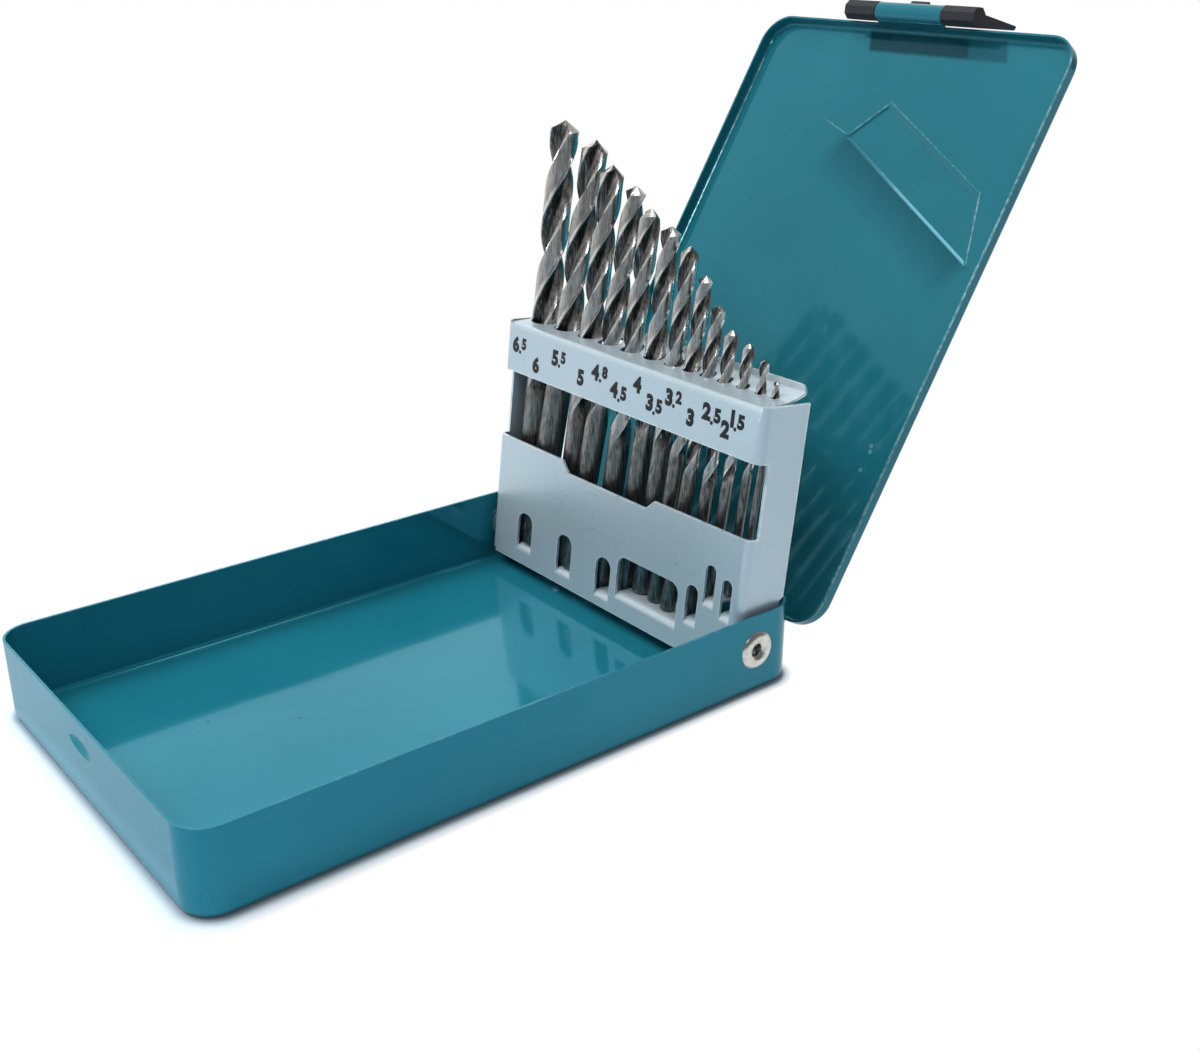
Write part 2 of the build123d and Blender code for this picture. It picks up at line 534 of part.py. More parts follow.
for name, diameter, length, flute, hole_x, seat_z, seat_x, seat_ahead, turn in BITS:
    radius = diameter / 2
    frame = bit_frame(radius, hole_x, seat_z, seat_x, seat_ahead)
    lead = math.pi * diameter / math.tan(math.radians(HELIX_ANGLE))
    shank = length - flute
    steps = math.ceil(flute / lead * 360 / SECTION_STEP)
    with BuildPart() as bit:
        for step in range(steps + 1):
            height = shank + flute * step / steps
            fade = RUNOUT_START * max(0.0, 1 - step / RUNOUT_SECTIONS)
            web_radius = radius * (WEB + (1 - WEB) * fade)
            twist = turn + 360 * (height - shank) / lead
            with BuildSketch(frame.offset(height)):
                with BuildLine():
                    bit_section(radius, web_radius, twist)
                make_face()
        loft()
        with BuildSketch(frame):
            Circle(radius)
        extrude(amount=shank)
        # Point cone and shank chamfer.
        point = radius / math.tan(math.radians(POINT_ANGLE / 2))
        with BuildSketch(Plane(origin=frame.origin, x_dir=frame.x_dir, z_dir=-frame.y_dir)):
            with BuildLine():
                Polyline(
                    (0, 0), (radius - SHANK_CHAMFER, 0), (2 * radius, radius + SHANK_CHAMFER),
                    (2 * radius, length - 2 * point), (0, length), close=True,
                )
            make_face()
        revolve(axis=Axis(frame.origin, frame.z_dir), mode=Mode.INTERSECT)
    finish(bit, f"drill_bit_{name}")
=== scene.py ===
"""Dressed model of an open folding drill bit case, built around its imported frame.

Lengths are written in millimetres and turned into metres where a mesh is made.
+Z is up, +Y points to the hinge at the back, +X to the small bits' end of the rack.
"""
import json
import logging
import math
from dataclasses import dataclass
from enum import Enum, member
from functools import reduce

import bmesh
import bpy
from mathutils import Matrix, Vector


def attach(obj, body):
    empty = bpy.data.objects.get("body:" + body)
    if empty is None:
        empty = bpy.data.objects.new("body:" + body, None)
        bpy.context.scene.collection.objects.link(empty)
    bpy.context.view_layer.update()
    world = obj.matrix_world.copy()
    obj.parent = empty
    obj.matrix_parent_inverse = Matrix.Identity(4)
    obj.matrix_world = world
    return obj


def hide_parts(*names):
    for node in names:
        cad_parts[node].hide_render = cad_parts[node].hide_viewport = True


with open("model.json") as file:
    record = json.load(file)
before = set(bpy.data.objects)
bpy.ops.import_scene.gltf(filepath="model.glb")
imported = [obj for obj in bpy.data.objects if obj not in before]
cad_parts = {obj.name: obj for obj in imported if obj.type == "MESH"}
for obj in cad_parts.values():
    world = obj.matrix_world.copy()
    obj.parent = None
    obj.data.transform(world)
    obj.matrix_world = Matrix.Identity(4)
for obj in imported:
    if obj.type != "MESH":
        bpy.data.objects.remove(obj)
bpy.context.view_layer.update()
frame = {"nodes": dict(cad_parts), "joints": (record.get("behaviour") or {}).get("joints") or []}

MM = 0.001
WELD = 0.002  # millimetres within which vertices are one
FLAT = math.radians(0.4)  # faces that differ by less are joined
CREASE = math.radians(32.0)  # edges that bend by more are rounded
LOG = logging.getLogger("drill_bit_case")

WHITE = (1.0, 1.0, 1.0, 1.0)
BLACK = (0.0, 0.0, 0.0, 1.0)
VECTOR_TO_NUMBER = ("DOT_PRODUCT", "DISTANCE", "LENGTH")

Socket = bpy.types.NodeSocket
Tree = bpy.types.NodeTree
Mesh = bpy.types.Mesh
Material = bpy.types.Material
Value = Socket | float | int | tuple | Vector


# --- node trees ---
class Graph:
    """A node tree with short calls to wire it."""

    def __init__(self, tree: Tree) -> None:
        """Keep the tree.

        Args:
            tree: The shader or geometry tree to wire.
        """
        self.tree = tree

    def feed(self, socket: Socket, value: Value) -> None:
        """Link a socket to another, or set its own value.

        Args:
            socket: The input to feed.
            value: An output socket, or a number, vector or colour.
        """
        if isinstance(value, Socket):
            self.tree.links.new(value, socket)
        else:
            socket.default_value = value

    def add(
        self, kind: str, inputs: dict[str | int, Value] | None = None, **settings: object
    ) -> bpy.types.Node:
        """Add a node.

        Args:
            kind: The node's type name.
            inputs: What feeds each input, by name or place.
            settings: The node's own properties.

        Returns:
            The new node.
        """
        node = self.tree.nodes.new(kind)
        for name, setting in settings.items():
            setattr(node, name, setting)
        for key, value in (inputs or {}).items():
            self.feed(node.inputs[key], value)
        return node

    def math(self, operation: str, *values: Value, clamp: bool = False) -> Socket:
        """Add a Math node and return its result.

        Args:
            operation: The node's operation.
            values: One to three operands.
            clamp: Whether the result is kept between 0 and 1.

        Returns:
            The result's socket.
        """
        node = self.add("ShaderNodeMath", dict(enumerate(values)), operation=operation, use_clamp=clamp)
        return node.outputs[0]

    def product(self, *values: Value) -> Socket:
        """Multiply values, each by what came before it.

        Args:
            values: Two or more factors.

        Returns:
            The product's socket.
        """
        return reduce(lambda first, second: self.math("MULTIPLY", first, second), values)

    def vector(self, operation: str, *values: Value) -> Socket:
        """Add a Vector Math node and return its result.

        Args:
            operation: The node's operation.
            values: One or two operands.

        Returns:
            The socket of the resulting vector or number.
        """
        node = self.add("ShaderNodeVectorMath", dict(enumerate(values)), operation=operation)
        return node.outputs["Value" if operation in VECTOR_TO_NUMBER else "Vector"]

    def noise(self, place: Value, scale: Value, detail: float, roughness: float = 0.5) -> Socket:
        """Add a noise texture and return its value.

        Args:
            place: Where the noise is read.
            scale: Waves in a metre.
            detail: Octaves.
            roughness: Share that each octave adds.

        Returns:
            The noise value's socket.
        """
        inputs = {"Vector": place, "Scale": scale, "Detail": detail, "Roughness": roughness}
        return self.add("ShaderNodeTexNoise", inputs).outputs["Fac"]

    def ramp(
        self, value: Value, start: Value, end: Value, low: Value = 0.0, high: Value = 1.0,
        kind: str = "LINEAR",
    ) -> Socket:
        """Map a value from start..end to low..high, held at both ends.

        Args:
            value: What is mapped.
            start: The value that gives low.
            end: The value that gives high.
            low: Result at start.
            high: Result at end.
            kind: The node's interpolation.

        Returns:
            The result's socket.
        """
        inputs = dict(enumerate((value, start, end, low, high)))
        return self.add("ShaderNodeMapRange", inputs, interpolation_type=kind).outputs[0]

    def blend(self, share: Value, first: Value, second: Value) -> Socket:
        """Mix two colours and return the result's socket.

        Args:
            share: 0 for the first colour, 1 for the second.
            first: Colour or socket.
            second: Colour or socket.

        Returns:
            The mixed colour's socket.
        """
        return self.add("ShaderNodeMix", {0: share, 6: first, 7: second}, data_type="RGBA").outputs[2]

    def curve(self, value: Value, points: list) -> Socket:
        """A straight-run function of a value.

        Args:
            value: What it is a function of, 0 to 1.
            points: Value and result at each corner.

        Returns:
            The result's socket.
        """
        node = self.add("ShaderNodeFloatCurve", {"Value": value})
        line = node.mapping.curves[0]
        line.points[0].location = points[0]
        line.points[1].location = points[-1]
        for place in points[1:-1]:
            line.points.new(*place)
        for point in line.points:
            point.handle_type = "VECTOR"
        node.mapping.update()
        return node.outputs[0]

    def rays(self) -> tuple[Socket, Socket]:
        """Tell apart what the camera sees straight and what shows in mirrors.

        Returns:
            The sockets of both masks.
        """
        path = self.add("ShaderNodeLightPath").outputs
        straight = self.math("MAXIMUM", path["Is Camera Ray"], path["Is Transmission Ray"])
        return straight, path["Is Glossy Ray"]


def colour(red: float, green: float, blue: float) -> tuple[float, float, float, float]:
    """Linear colour of an sRGB one.

    Args:
        red: 0 to 255.
        green: 0 to 255.
        blue: 0 to 255.

    Returns:
        Linear red, green, blue and alpha.
    """
    shares = (channel / 255 for channel in (red, green, blue))
    return (*(s / 12.92 if s <= 0.04045 else ((s + 0.055) / 1.055) ** 2.4 for s in shares), 1.0)


# --- surface effects ---
def new_group(name: str, output: str, **inputs: float) -> tuple[Graph, bpy.types.NodeOutputs, Socket]:
    """Start a shader group that gives one number for a place.

    Args:
        name: The group's name.
        output: The name of its output.
        inputs: Default of each number that it takes besides the place.

    Returns:
        The graph, what the group is given, and the socket of its output.
    """
    tree = bpy.data.node_groups.new(name, "ShaderNodeTree")
    tree.interface.new_socket(name="Vector", in_out="INPUT", socket_type="NodeSocketVector")
    for label, default in inputs.items():
        socket = tree.interface.new_socket(name=label, in_out="INPUT", socket_type="NodeSocketFloat")
        socket.default_value = default
    tree.interface.new_socket(name=output, in_out="OUTPUT", socket_type="NodeSocketFloat")
    graph = Graph(tree)
    return graph, graph.add("NodeGroupInput").outputs, graph.add("NodeGroupOutput").inputs[output]


def worn_edges() -> Tree:
    """Mask of the sharp outer edges, broken up by noise.

    Returns:
        A group from Vector, Radius, Scale, Cover and Amount to Mask.
    """
    graph, given, mask = new_group("worn_edges", "Mask", Radius=0.0003, Scale=400.0, Cover=0.0, Amount=1.0)
    rounded = graph.add("ShaderNodeBevel", {"Radius": given["Radius"]}, samples=4).outputs[0]
    flat = graph.add("ShaderNodeNewGeometry").outputs["Normal"]
    cosine = graph.vector("DOT_PRODUCT", rounded, flat)
    edge = graph.ramp(cosine, 0.995, 0.86)
    cloud = graph.noise(given["Vector"], given["Scale"], 4.0, 0.65)
    broken = graph.ramp(graph.math("ADD", cloud, given["Cover"]), 0.50, 0.62)
    graph.feed(mask, graph.math("MULTIPLY", graph.product(edge, broken), given["Amount"], clamp=True))
    return graph.tree


def fine_scratches() -> Tree:
    """Mask of thin scratches that run mostly two ways.

    Returns:
        A group from Vector, Scale and Amount to Mask.
    """
    graph, given, mask = new_group("fine_scratches", "Mask", Scale=60.0, Amount=1.0)
    patch = graph.ramp(graph.noise(given["Vector"], given["Scale"], 1.0), 0.54, 0.66)
    lines = []
    for turn, stretch in (((0.35, 0.2, 0.5), (1.0, 26.0, 9.0)), ((0.1, -0.6, -1.1), (22.0, 1.0, 7.0))):
        inputs = {"Vector": given["Vector"], "Rotation": turn, "Scale": stretch}
        drawn_out = graph.add("ShaderNodeMapping", inputs).outputs[0]
        cloud = graph.noise(drawn_out, given["Scale"], 2.0, 0.4)
        ridge = graph.math("ABSOLUTE", graph.math("SUBTRACT", cloud, 0.5))
        lines.append(graph.product(graph.ramp(ridge, 0.006, 0.0), patch))
    both = graph.math("MAXIMUM", *lines)
    graph.feed(mask, graph.math("MULTIPLY", both, given["Amount"], clamp=True))
    return graph.tree


def dust_specks() -> Tree:
    """Mask of small scattered specks.

    Returns:
        A group from Vector, Scale and Amount to Mask.
    """
    graph, given, mask = new_group("dust_specks", "Mask", Scale=500.0, Amount=1.0)
    inputs = {"Vector": given["Vector"], "Scale": given["Scale"], "Randomness": 1.0}
    cells = graph.add("ShaderNodeTexVoronoi", inputs).outputs
    dot = graph.ramp(cells["Distance"], 0.16, 0.10)
    chosen = graph.add("ShaderNodeSeparateColor", {0: cells["Color"]}).outputs[0]
    specks = graph.product(dot, graph.ramp(chosen, 0.80, 0.84))
    graph.feed(mask, graph.math("MULTIPLY", specks, given["Amount"], clamp=True))
    return graph.tree


def paint_skin() -> Tree:
    """Height of sprayed paint: fine orange peel over slow waves in the sheet.

    Returns:
        A group from Vector, Peel and Wave to Height.
    """
    graph, given, height = new_group("paint_skin", "Height", Peel=0.1, Wave=1.0)
    fine = graph.product(graph.noise(given["Vector"], 900.0, 2.0), given["Peel"])
    slow = graph.product(graph.noise(given["Vector"], 34.0, 1.0), given["Wave"])
    graph.feed(height, graph.math("ADD", fine, slow))
    return graph.tree


class Effect(Enum):
    """Shared surface effects, each with the function that makes its group."""

    WORN_EDGES = member(worn_edges)
    FINE_SCRATCHES = member(fine_scratches)
    DUST_SPECKS = member(dust_specks)
    PAINT_SKIN = member(paint_skin)


class Finish(Graph):
    """A material being built on a Principled shader."""

    def __init__(self, name: str) -> None:
        """Start the material.

        Args:
            name: The material's name.
        """
        self.material = bpy.data.materials.new(name)
        self.material.use_nodes = True
        super().__init__(self.material.node_tree)
        self.shader = self.tree.nodes["Principled BSDF"]
        self.place = self.add("ShaderNodeTexCoord").outputs["Object"]

    def set(self, **sockets: Value) -> None:
        """Feed the shader's sockets, written with underscores for blanks.

        Args:
            sockets: Value or socket for each.
        """
        for name, value in sockets.items():
            self.feed(self.shader.inputs[name.replace("_", " ")], value)

    def effect(self, kind: Effect, **inputs: Value) -> Socket:
        """Place a shared effect.

        Args:
            kind: Which effect.
            inputs: Its own values.

        Returns:
            The effect's output.
        """
        tree = bpy.data.node_groups.get(kind.value.__name__) or kind.value()
        return self.add("ShaderNodeGroup", {"Vector": self.place, **inputs}, node_tree=tree).outputs[0]

    def grain(self, scale: float, detail: float = 2.0, stretch: tuple = (1.0, 1.0, 1.0)) -> Socket:
        """Noise over the piece.

        Args:
            scale: Waves in a metre.
            detail: Octaves.
            stretch: Scale along each axis.

        Returns:
            The noise value's socket.
        """
        mapping = self.add("ShaderNodeMapping", {"Vector": self.place, "Scale": stretch})
        return self.noise(mapping.outputs[0], scale, detail)

    def spots(self, places: tuple, radius: float) -> Socket:
        """Mask of small round marks.

        Args:
            places: Where they are, millimetres.
            radius: Their radius, millimetres.

        Returns:
            The mask's socket.
        """
        dots = []
        for place in places:
            away = self.vector("DISTANCE", self.place, tuple(edge * MM for edge in place))
            dots.append(self.ramp(away, radius * MM, radius * MM * 0.5))
        return reduce(lambda first, second: self.math("MAXIMUM", first, second), dots)

    def reach(self, start: tuple, way: tuple) -> Socket:
        """Distance from a plane, in millimetres.

        Args:
            start: A point of the plane, millimetres.
            way: The direction that is measured.

        Returns:
            The distance's socket.
        """
        past = self.vector("SUBTRACT", self.place, tuple(edge * MM for edge in start))
        return self.vector("DOT_PRODUCT", past, tuple(share / MM for share in way))

    def band(self, value: Value, low: float, high: float, soft: float) -> Socket:
        """Mask of a value between two limits.

        Args:
            value: What is looked at.
            low: Where the band starts.
            high: Where it ends.
            soft: Width of the change at each end.

        Returns:
            The mask's socket.
        """
        start = self.ramp(value, low - soft / 2, low + soft / 2)
        end = self.ramp(value, high + soft / 2, high - soft / 2)
        return self.product(start, end)

    def bump(self, height: Socket, distance: float) -> None:
        """Feed the shader's normal with a bump.

        Args:
            height: Height's socket.
            distance: Depth of a height of 1, in metres.
        """
        bump = self.add("ShaderNodeBump", {"Height": height, "Distance": distance})
        self.set(Normal=bump.outputs[0])


# --- finishes ---
class Recipe:
    """What every finish below can do."""

    name: str

    def wire(self, finish: Finish) -> None:
        """Wire the material.

        Args:
            finish: The material being built.
        """
        raise NotImplementedError

    def build(self) -> Material:
        """Make the material.

        Returns:
            The finished material.
        """
        finish = Finish(self.name)
        self.wire(finish)
        return finish.material


@dataclass(frozen=True)
class GlossPaint(Recipe):
    """Glossy stoving paint on pressed sheet."""

    name: str = "teal_gloss_paint"
    tone: tuple = colour(35, 127, 146)
    shade: tuple = colour(28, 119, 138)
    bare: tuple = colour(150, 152, 150)
    # colour of specks and scratches, and on the lid the colour of its painted highlights
    dust: tuple = colour(150, 190, 192)
    soot: tuple = colour(20, 52, 60)
    lustre: float = 0.40
    roughness: float = 0.11
    coat: float = 0.30
    coat_roughness: float = 0.03
    marks: tuple = (
        (4.1, -65.7, 15.3), (-7.9, -65.7, 12.0), (-30.7, -65.7, 2.4),
        (-13.2, -37.4, 0.5), (-3.5, -22.8, 0.5),
    )
    mark_radius: float = 0.45
    mark_share: float = 0.6

    def toned(self, finish: Finish, paint: Socket) -> Socket:
        """Add the marks that this sheet alone has.

        Args:
            finish: The material being built.
            paint: The plain paint's colour.

        Returns:
            The marked paint's colour.
        """
        mask = finish.product(finish.spots(self.marks, self.mark_radius), self.mark_share)
        return finish.blend(mask, paint, self.soot)

    def wire(self, finish: Finish) -> None:
        """See Recipe.wire."""
        cloud = finish.ramp(finish.grain(18.0, 3.0), 0.35, 0.65)
        paint = self.toned(finish, finish.blend(cloud, self.tone, self.shade))
        edge = finish.effect(Effect.WORN_EDGES, Radius=0.00022, Scale=700.0, Amount=0.55)
        scratch = finish.effect(Effect.FINE_SCRATCHES, Scale=26.0, Amount=0.03)
        speck = finish.effect(Effect.DUST_SPECKS, Scale=520.0, Amount=0.08)
        fleck = finish.effect(Effect.DUST_SPECKS, Scale=330.0, Amount=0.16)
        marked = finish.blend(finish.math("MAXIMUM", scratch, speck), paint, self.dust)
        marked = finish.blend(fleck, marked, self.soot)
        finish.set(
            Base_Color=finish.blend(edge, marked, self.bare),
            Metallic=self.lustre,
            Roughness=finish.ramp(scratch, 0.0, 1.0, self.roughness, 0.6),
            Specular_IOR_Level=0.1,
            Coat_Weight=self.coat,
            Coat_Roughness=self.coat_roughness,
        )
        finish.bump(finish.effect(Effect.PAINT_SKIN, Peel=0.04, Wave=0.8), 0.00025)


@dataclass(frozen=True)
class LidPaint(GlossPaint):
    """The same paint on the lid, with a painted dark reflection beside the latch, painted shade beyond the
    pressed panel and painted highlights along creases and edges; four numbers are a ramp's own.
    """

    name: str = "teal_gloss_lid_paint"
    tone: tuple = colour(34, 111, 126)
    shade: tuple = colour(27, 103, 118)
    # colour of the painted dark reflection beside the latch and of the painted shade beyond the pressed
    # panel
    deep: tuple = colour(2, 50, 62)
    marks: tuple = ((36.5, 92.7, 42.1), (36.9, 92.0, 41.1), (36.6, 89.8, 37.4))
    mark_radius: float = 0.6
    mark_share: float = 0.35
    corner: tuple = (0.0, 71.60, 8.22)
    along: tuple = (0.0, 0.52844, 0.84897)
    inward: tuple = (0.0, -0.84897, 0.52844)
    inner_face: tuple = (-0.35, -0.15)
    # painted dark reflection beside the latch: its limits across and up the lid, then its slant, softness
    # and shares
    patch: tuple = (-12.7, 25.8, 126.5, 131.4)
    patch_slant: tuple = (129.0, 0.45)
    patch_soft: float = 0.9
    patch_tones: tuple = (15.0, 16.0, 0.90, 0.55)
    # painted shade that fades out over about 11 mm beyond the pressed panel's lower-left edge
    pressed_edge: tuple = ((39.0, 82.2), (-7.3, 106.0))
    press_start: tuple = (0.0, 0.6)
    press_fade: tuple = (0.6, 11.0, 0.50, 0.0)
    press_soft: float = 4.0
    # painted highlights along the lid's side creases and the pressed panel's edges: start, end and share of
    # each
    worn: tuple = (
        ((39.0, 82.2), (34.8, 97.5), 0.65), ((34.8, 97.5), (1.0, 115.0), 0.25),
        ((43.3, 124.0), (43.3, 8.0), 0.5), ((-7.3, 106.0), (-15.9, 109.0), 0.35),
        ((-43.3, 60.0), (-43.3, 122.0), 0.8), ((-6.6, 106.0), (0.9, 114.2), 0.6),
    )
    # noise that breaks up the painted highlight lines and the rim's painted highlight
    wear: tuple = (0.42, 0.60, 0.25, 1.0)
    # half width of each painted highlight line, and the softness of its ends
    line: float = 0.15
    line_end: float = 1.0
    # painted highlight along the lid's right rim: its depth band, the side it keeps to and its share
    rim: tuple = (2.45, 2.85, 0.2)
    rim_side: tuple = (43.2, 43.6)
    rim_share: float = 0.5

    def beside(self, finish: Finish, start: tuple, end: tuple) -> tuple:
        """Fields of a straight edge drawn on the lid's sheet.

        Args:
            finish: The material being built.
            start: Where it starts: across, and up from the lower corner, millimetres.
            end: Where it ends.

        Returns:
            Sockets of the distance along it and out from it, and its length.
        """
        length = math.dist(start, end)
        turn, rise = ((last - first) / length for first, last in zip(start, end))
        side, along = Vector((1, 0, 0)), Vector(self.along)
        origin = Vector(self.corner) + side * start[0] + along * start[1]
        run = finish.reach(tuple(origin), tuple(side * turn + along * rise))
        out = finish.reach(tuple(origin), tuple(along * turn - side * rise))
        return run, out, length

    def toned(self, finish: Finish, paint: Socket) -> Socket:
        """See GlossPaint.toned; here with a painted dark reflection, painted shade and painted highlights
        as well.
        """
        across = finish.reach(self.corner, (1.0, 0.0, 0.0))
        height = finish.reach(self.corner, self.along)
        depth = finish.reach(self.corner, self.inward)
        inside = finish.ramp(depth, *self.inner_face)

        # painted dark reflection beside the latch, darker on its left
        low, high, start, end = self.patch
        level, slant = self.patch_slant
        skewed = finish.math("ADD", across, finish.product(finish.math("SUBTRACT", height, level), slant))
        sides = finish.band(skewed, low, high, self.patch_soft)
        ends = finish.band(height, start, end, self.patch_soft)
        patch = finish.product(sides, ends, finish.ramp(skewed, *self.patch_tones))

        # painted shade beyond the pressed panel's lower-left edge
        run, out, length = self.beside(finish, *self.pressed_edge)
        painted_press_shade = finish.product(finish.ramp(out, *self.press_start), finish.ramp(out, *self.press_fade))
        painted_press_shade = finish.product(painted_press_shade, finish.band(run, 0.0, length, self.press_soft))
        # the painted reflection and the painted shade, laid in the deep colour on the lid's inner face only
        toned = finish.blend(finish.product(inside, finish.math("MAXIMUM", patch, painted_press_shade)), paint, self.deep)

        # painted highlights along creases and edges, broken up by noise, on the inner face only
        broken = finish.product(inside, finish.ramp(finish.grain(900.0), *self.wear))
        for first, last, share in self.worn:
            run, out, length = self.beside(finish, first, last)
            ends = finish.band(run, 0.0, length, self.line_end)
            line = finish.product(ends, finish.band(out, -self.line, self.line, self.line))
            toned = finish.blend(finish.product(line, finish.product(broken, share)), toned, self.dust)
        # painted highlight along the lid's right rim, broken up by noise
        rim = finish.product(finish.band(depth, *self.rim), finish.ramp(across, *self.rim_side))
        toned = finish.blend(finish.product(rim, broken, self.rim_share), toned, self.dust)
        mask = finish.product(finish.spots(self.marks, self.mark_radius), self.mark_share)
        return finish.blend(mask, toned, self.dust)


@dataclass(frozen=True)
class SilverPaint(Recipe):
    """Silver-grey paint on the rack, with a painted highlight along its cut edges."""

    name: str = "silver_grey_paint"
    tone: tuple = colour(186, 202, 210)
    shade: tuple = colour(172, 189, 198)
    rub: tuple = colour(92, 96, 98)
    bright: tuple = colour(244, 249, 251)
    roughness: float = 0.33

    def wire(self, finish: Finish) -> None:
        """See Recipe.wire."""
        flake = finish.ramp(finish.grain(5200.0, 2.0), 0.30, 0.70)
        cloud = finish.ramp(finish.grain(40.0, 3.0), 0.3, 0.7)
        paint = finish.blend(finish.product(finish.math("ADD", flake, cloud), 0.5), self.tone, self.shade)
        # the shared edge mask lightens the cut edges to near white: a painted highlight along them
        edge = finish.effect(Effect.WORN_EDGES, Radius=0.0005, Scale=300.0, Cover=0.12, Amount=0.9)
        scratch = finish.effect(Effect.FINE_SCRATCHES, Scale=34.0, Amount=0.35)
        finish.set(
            Base_Color=finish.blend(scratch, finish.blend(edge, paint, self.bright), self.rub),
            Metallic=0.52,
            Roughness=finish.ramp(flake, 0.0, 1.0, self.roughness - 0.04, self.roughness + 0.06),
            Coat_Weight=0.25,
            Coat_Roughness=0.2,
        )
        finish.bump(finish.effect(Effect.PAINT_SKIN, Peel=0.35, Wave=0.5), 0.0001)


@dataclass(frozen=True)
class PlatedMetal(Recipe):
    """Plated or drawn plain metal."""

    name: str
    tone: tuple
    tarnish: tuple
    roughness: float
    grain: float = 2600.0

    def wire(self, finish: Finish) -> None:
        """See Recipe.wire."""
        stain = finish.ramp(finish.grain(900.0, 4.0), 0.42, 0.66)
        scratch = finish.effect(Effect.FINE_SCRATCHES, Scale=150.0, Amount=0.8)
        dull = finish.math("MAXIMUM", stain, scratch)
        finish.set(
            Base_Color=finish.blend(stain, self.tone, self.tarnish),
            Metallic=1.0,
            Roughness=finish.ramp(dull, 0.0, 1.0, self.roughness, self.roughness + 0.2),
        )
        finish.bump(finish.grain(self.grain, 3.0), 0.00002)


@dataclass(frozen=True)
class GroundSteel(Recipe):
    """High-speed steel with ground lands, painted highlights on them and painted shade in the flutes."""

    name: str = "ground_drill_steel"
    # painted highlight on the lands, the steel's dark tone that takes the painted shade, and the colour of
    # the mottled painted shade in the flutes
    bright: tuple = colour(240, 238, 234)
    dark: tuple = colour(58, 55, 53)
    stain: tuple = colour(40, 36, 33)

    def wire(self, finish: Finish) -> None:
        """See Recipe.wire."""
        ground_and_painted_light = finish.add("ShaderNodeAttribute", attribute_name="ground_and_painted_light").outputs["Fac"]
        along = finish.add("ShaderNodeAttribute", attribute_name="along").outputs["Fac"]
        rings = {"W": along, "Scale": 9000.0, "Detail": 3.0}
        rings = finish.add("ShaderNodeTexNoise", rings, noise_dimensions="1D").outputs["Fac"]
        streak = finish.ramp(finish.grain(3200.0, 3.0, (1.0, 1.0, 0.012)), 0.30, 0.70, -0.20, 0.20)
        mottle = finish.ramp(finish.grain(800.0, 4.0), 0.46, 0.72)
        # lit share: the painted light along the section, streaked by grinding
        lit = finish.math("ADD", ground_and_painted_light, streak, clamp=True)
        steel = finish.blend(lit, self.dark, self.bright)
        # painted shade, mottled, deepest in the flutes
        painted_flute_shade = finish.product(mottle, finish.ramp(ground_and_painted_light, 0.5, 0.0, 0.04, 0.4))
        finish.set(
            Base_Color=finish.blend(painted_flute_shade, steel, self.stain),
            Metallic=1.0,
            Roughness=finish.ramp(ground_and_painted_light, 0.3, 1.0, 0.36, 0.14),
        )
        finish.bump(rings, 0.000012)


@dataclass(frozen=True)
class MouldedPlastic(Recipe):
    """Fine matte moulded plastic."""

    name: str = "charcoal_plastic"
    tone: tuple = colour(34, 36, 41)
    scuff: tuple = colour(74, 77, 82)

    def wire(self, finish: Finish) -> None:
        """See Recipe.wire."""
        edge = finish.effect(Effect.WORN_EDGES, Radius=0.0003, Scale=380.0, Amount=0.5)
        scratch = finish.effect(Effect.FINE_SCRATCHES, Scale=70.0, Amount=0.4)
        mask = finish.math("MAXIMUM", edge, scratch)
        finish.set(
            Base_Color=finish.blend(mask, self.tone, self.scuff),
            Roughness=finish.ramp(finish.grain(1500.0), 0.3, 0.7, 0.48, 0.64),
            Specular_IOR_Level=0.35,
        )
        finish.bump(finish.grain(4200.0, 3.0), 0.00004)


@dataclass(frozen=True)
class PrintedInk(Recipe):
    """Black printing ink, a little thin in places."""

    name: str = "black_ink"
    tone: tuple = colour(14, 15, 17)
    thin: tuple = colour(40, 43, 46)

    def wire(self, finish: Finish) -> None:
        """See Recipe.wire."""
        patch = finish.ramp(finish.grain(2600.0, 4.0), 0.56, 0.72)
        finish.set(Base_Color=finish.blend(patch, self.tone, self.thin), Roughness=0.5)
        finish.bump(finish.grain(5000.0), 0.00002)


# --- meshes ---
def in_scene(name: str, data: bpy.types.ID) -> bpy.types.Object:
    """Make an object and link it to the scene.

    Args:
        name: The object's name.
        data: Its mesh, curve, camera or lamp.

    Returns:
        The new object.
    """
    made = bpy.data.objects.new(name, data)
    bpy.context.scene.collection.objects.link(made)
    return made


def as_piece(
    mesh: Mesh, name: str, material: Material, body: str, slot: str, nodes: tuple = ()
) -> None:
    """Put a finished mesh in the scene as a piece of the case.

    Args:
        mesh: The mesh, in place, in metres.
        name: The piece's name.
        material: Its finish.
        body: The CAD body that it rides on.
        slot: The record's material slot; not used.
        nodes: The CAD nodes that it stands for.
    """
    mesh.name = name
    mesh.materials.clear()
    mesh.materials.append(material)
    piece = in_scene(name, mesh)
    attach(piece, body)
    if nodes:
        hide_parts(*nodes)
    LOG.info("%s rides on %s, %d faces", name, body, len(mesh.polygons))


def baked(holder: bpy.types.Object) -> Mesh:
    """The mesh that an object's modifiers give; the object is removed.

    Args:
        holder: A scratch object with its modifiers on.

    Returns:
        A plain mesh.
    """
    graph = bpy.context.evaluated_depsgraph_get()
    mesh = bpy.data.meshes.new_from_object(holder.evaluated_get(graph), depsgraph=graph)
    bpy.data.objects.remove(holder)
    return mesh


